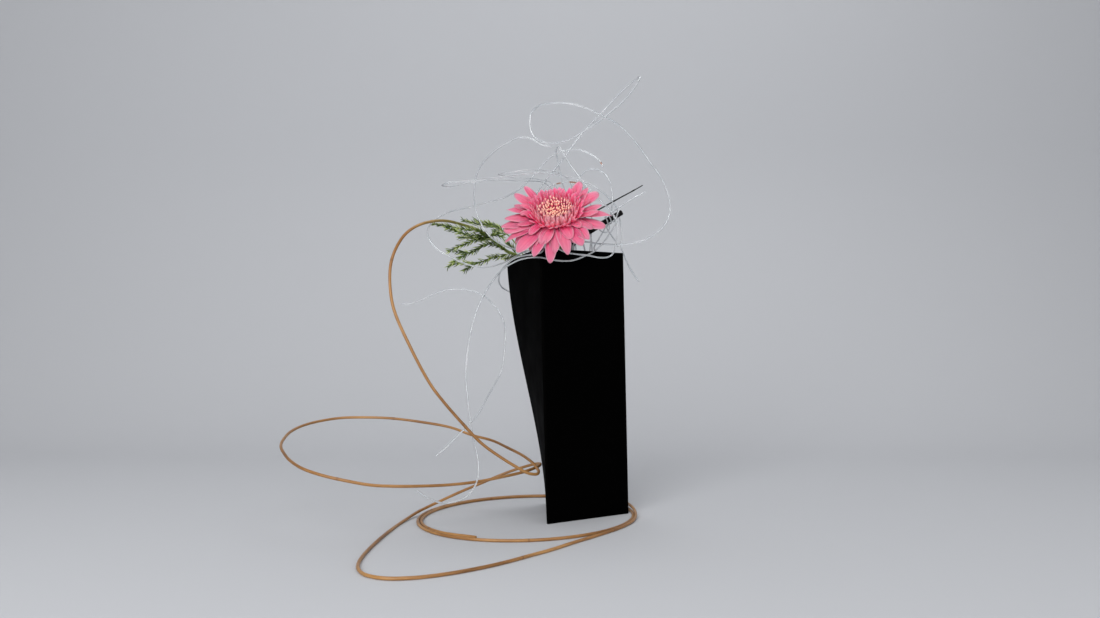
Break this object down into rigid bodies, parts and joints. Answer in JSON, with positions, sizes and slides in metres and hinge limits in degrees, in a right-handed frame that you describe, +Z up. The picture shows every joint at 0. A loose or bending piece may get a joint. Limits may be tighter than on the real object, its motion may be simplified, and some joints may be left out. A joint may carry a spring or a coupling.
{
  "type": "ikebana arrangement",
  "caption": "Tall black three-cornered vase with a pink chrysanthemum, needle-leaved fern, a looping rattan cane that rings the foot, and stiff clear nylon strands.",
  "frame": {"origin": "middle of the vase's flat foot, on the surface that the arrangement stands on", "axes": "+Z up, -Y towards the viewer whom the bloom faces, +X to the viewer's right"},
  "size_m": [0.4513, 0.3966, 0.5081],
  "materials": {
    "vase_glaze": "matt black glaze",
    "water": "still clear water",
    "petals": "soft pink petal, stands in for living tissue",
    "florets": "cream and peach floret tips",
    "stem": "green stem, stands in for living tissue",
    "fern": "dark green needles, stands in for living tissue",
    "cane": "smooth tan rattan",
    "stick": "matt black bark",
    "twig": "dark dry twig",
    "nylon": "clear smooth nylon"
  },
  "bodies": {
    "root": {"vase": "vase_glaze", "water": "water", "bloom_petals": "petals", "bloom_centre": "florets", "flower_stem": "stem", "fern_frond_front": "fern", "fern_frond_rear": "fern", "rattan_cane": "cane", "black_stick": "stick", "dark_twig": "twig", "nylon_double_loop": "nylon", "nylon_left_arch": "nylon", "nylon_low_loop": "nylon", "nylon_flat_loop_tail": "nylon", "nylon_flat_loop": "nylon", "nylon_pointed_loop": "nylon", "nylon_small_arch": "nylon", "nylon_rear_arch": "nylon", "nylon_front_trail": "nylon", "nylon_rear_hook": "nylon", "nylon_side_drape": "nylon", "nylon_stick_hook": "nylon", "nylon_binding": "nylon"}
  },
  "joints": []
}
